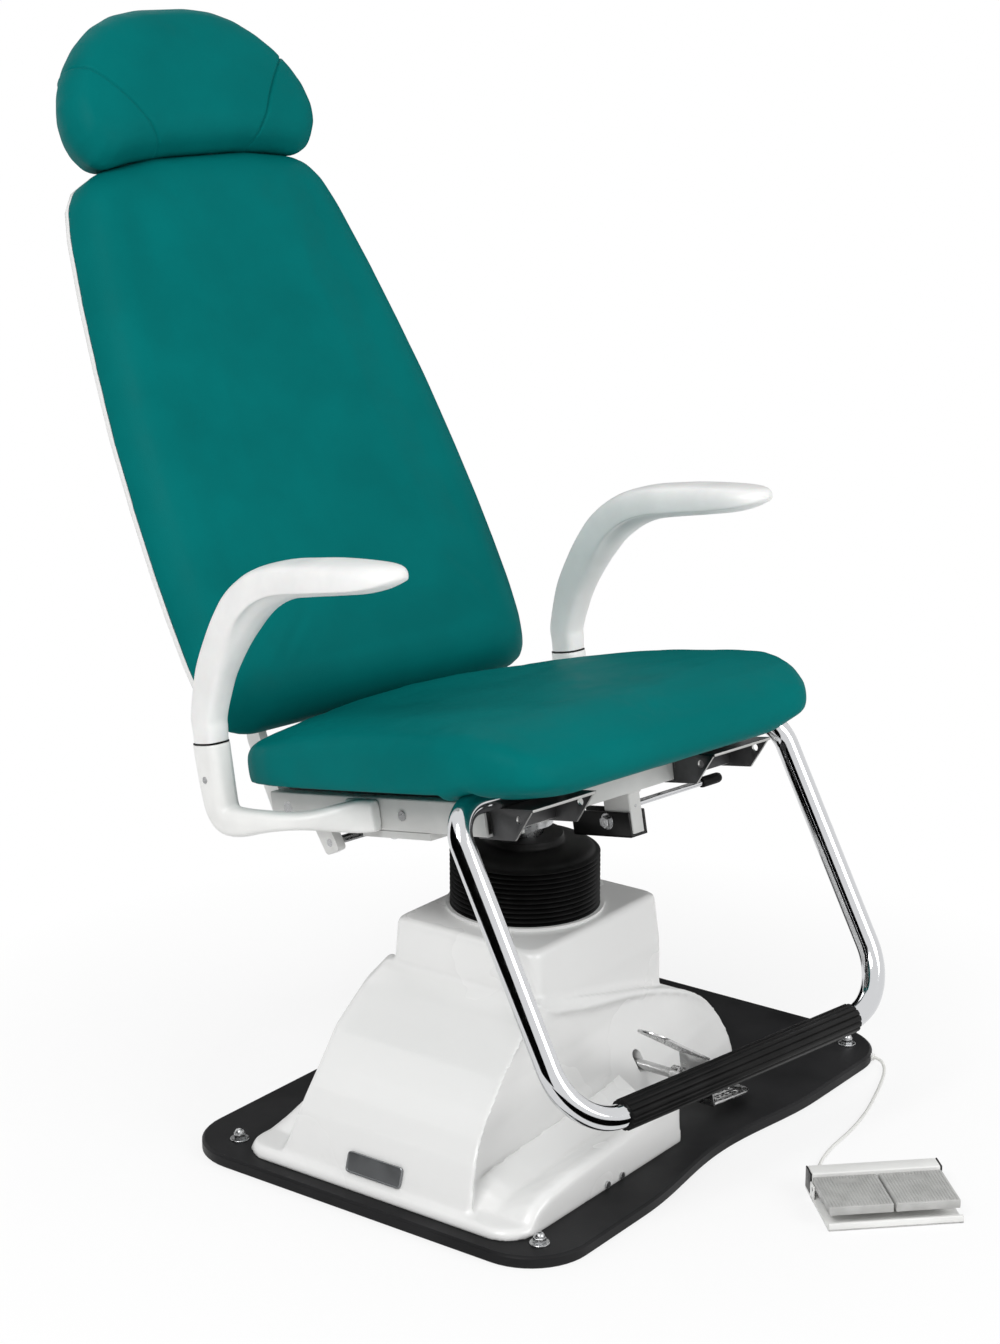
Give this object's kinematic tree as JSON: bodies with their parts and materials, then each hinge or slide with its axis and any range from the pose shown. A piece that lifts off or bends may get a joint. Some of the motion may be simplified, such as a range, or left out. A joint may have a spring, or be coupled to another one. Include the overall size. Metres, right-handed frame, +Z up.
{
  "type": "ear nose and throat chair",
  "caption": "Patient chair with reclining back, sliding headrest, swing-out arms, hydraulic lift column under bellows, foot bar, rocker pedal and foot switch.",
  "frame": {"origin": "centre of the lift column on the underside of the floor plate", "axes": "+Z up, -Y towards the front edge of the floor plate, +X towards the patient's left"},
  "size_m": [0.76, 1.3177, 1.2779],
  "materials": {
    "plate_enamel": "satin dark grey enamel on steel plate",
    "plated_steel": "bright zinc-plated steel",
    "white_abs": "glossy white moulded plastic",
    "badge_metal": "bare brushed aluminium",
    "grey_paint": "grey machine enamel",
    "bush_brass": "turned bronze bush",
    "dark_paint": "black enamel",
    "bellows_rubber": "matt black moulded rubber",
    "rod_steel": "ground steel",
    "chrome": "bright chrome plate",
    "cord_pvc": "white flexible PVC sheath",
    "white_paint": "white powder coat",
    "black_plastic": "black moulded plastic",
    "tread_plastic": "light grey ribbed plastic",
    "rail_paint": "light grey enamel",
    "dark_zinc": "dark grey satin enamel on sheet steel",
    "board_wood": "black-stained plywood",
    "teal_vinyl": "teal grained upholstery vinyl over foam",
    "grip_rubber": "black grooved rubber",
    "arm_pu": "white integral-skin polyurethane"
  },
  "bodies": {
    "base": {"floor_plate": "plate_enamel", "bolt_washers": "plated_steel", "bolt_nuts": "plated_steel", "base_cover": "white_abs", "cover_screws": "plated_steel", "name_plate": "badge_metal", "column_tube": "grey_paint", "column_screws": "plated_steel", "column_bush": "bush_brass", "oil_tank": "grey_paint", "pump_motor": "dark_paint", "bellows": "bellows_rubber", "bellows_ring": "white_abs", "pedal_bearing": "grey_paint", "cord_grommet": "white_abs", "switch_cord": "cord_pvc", "switch_base": "white_paint", "switch_housing": "white_paint", "switch_caps": "black_plastic", "switch_pin": "plated_steel"},
    "lift_column": {"lifting_rod": "rod_steel"},
    "seat_frame": {"swivel_hub": "grey_paint", "carrier_plate": "grey_paint", "left_rail": "rail_paint", "right_rail": "rail_paint", "front_rail": "rail_paint", "rear_rail": "rail_paint", "left_bracket": "dark_zinc", "right_bracket": "dark_zinc", "frame_screws": "plated_steel", "seat_board": "board_wood", "seat_cushion": "teal_vinyl", "foot_bar": "chrome", "foot_bar_sleeve": "grip_rubber", "lever_post": "rail_paint", "lever_clamp": "dark_paint", "lever_bolts": "plated_steel", "left_arm_casting": "white_paint", "right_arm_casting": "white_paint", "arm_pins": "plated_steel", "pivot_pins": "plated_steel"},
    "backrest": {"left_back_arm": "dark_paint", "right_back_arm": "dark_paint", "crank_bar": "plated_steel", "back_shell": "white_abs", "back_cushion": "teal_vinyl", "head_guides": "black_plastic"},
    "headrest": {"head_rods": "chrome", "head_plate": "dark_paint", "head_cushion": "teal_vinyl"},
    "arm_left": {"left_armrest": "arm_pu"},
    "arm_right": {"right_armrest": "arm_pu"},
    "lever": {"release_lever": "chrome", "lever_grip": "grip_rubber"},
    "rocker_pedal": {"pedal_shaft": "plated_steel", "pedal_plate": "chrome"},
    "tread_left": {"left_tread": "tread_plastic"},
    "tread_right": {"right_tread": "tread_plastic"},
    "gas_body": {"gas_cylinder": "dark_paint"},
    "gas_piston": {"gas_rod": "chrome"}
  },
  "joints": [
    {"name": "lift", "type": "slide", "parent": "base", "child": "lift_column", "axis": [0, 0, 1], "range_m": [0, 0.18], "deforming": ["bellows"]},
    {"name": "swivel", "type": "hinge", "parent": "lift_column", "child": "seat_frame", "pos_m": [0, 0, 0.3613], "axis": [0, 0, 1], "continuous": true},
    {"name": "recline", "type": "hinge", "parent": "seat_frame", "child": "backrest", "pos_m": [0.03348, 0.19382, 0.3672], "axis": [-0.9854, 0.1702, 0], "range_deg": [-12, 40]},
    {"name": "headrest_height", "type": "slide", "parent": "backrest", "child": "headrest", "axis": [0.0861, 0.4986, 0.8625], "range_m": [0, 0.11]},
    {"name": "left_arm_swing", "type": "hinge", "parent": "seat_frame", "child": "arm_left", "pos_m": [0.32986, 0.17064, 0.46365], "axis": [0.0336, 0.1948, 0.9803], "range_deg": [0, 90]},
    {"name": "right_arm_swing", "type": "hinge", "parent": "seat_frame", "child": "arm_right", "pos_m": [-0.2535, 0.2714, 0.46365], "axis": [-0.0336, -0.1948, -0.9803], "range_deg": [0, 90]},
    {"name": "lever_press", "type": "hinge", "parent": "seat_frame", "child": "lever", "pos_m": [0.0131, -0.14155, 0.39577], "axis": [0.1669, 0.966, -0.1977], "range_deg": [0, 6], "stiffness_Nm_per_rad": 1.5, "springref_deg": -11.46},
    {"name": "pedal_rock", "type": "hinge", "parent": "base", "child": "rocker_pedal", "pos_m": [0.024, -0.2, 0.068], "axis": [0, -1, 0], "range_deg": [0, 18]},
    {"name": "left_tread_press", "type": "hinge", "parent": "base", "child": "tread_left", "pos_m": [0.03429, -0.51783, 0.014], "axis": [0.6984, -0.7157, 0], "range_deg": [0, 3.5], "stiffness_Nm_per_rad": 2, "springref_deg": -5.73},
    {"name": "right_tread_press", "type": "hinge", "parent": "base", "child": "tread_right", "pos_m": [-0.01879, -0.46344, 0.014], "axis": [0.6984, -0.7157, 0], "range_deg": [0, 3.5], "stiffness_Nm_per_rad": 2, "springref_deg": -5.73},
    {"name": "gas_tilt", "type": "hinge", "parent": "seat_frame", "child": "gas_body", "pos_m": [-0.06761, -0.02715, 0.36561], "axis": [0.9854, -0.1702, 0], "range_deg": [-2.4, 7.4]},
    {"name": "gas_stroke", "type": "slide", "parent": "gas_body", "child": "gas_piston", "axis": [0.1665, 0.964, -0.2072], "range_m": [-0.0262, 0.008]}
  ],
  "couplings": [
    {"joint": "gas_tilt", "follows": "recline", "ratio": 0.18},
    {"joint": "gas_stroke", "follows": "recline", "m_per_rad": -0.037242}
  ]
}
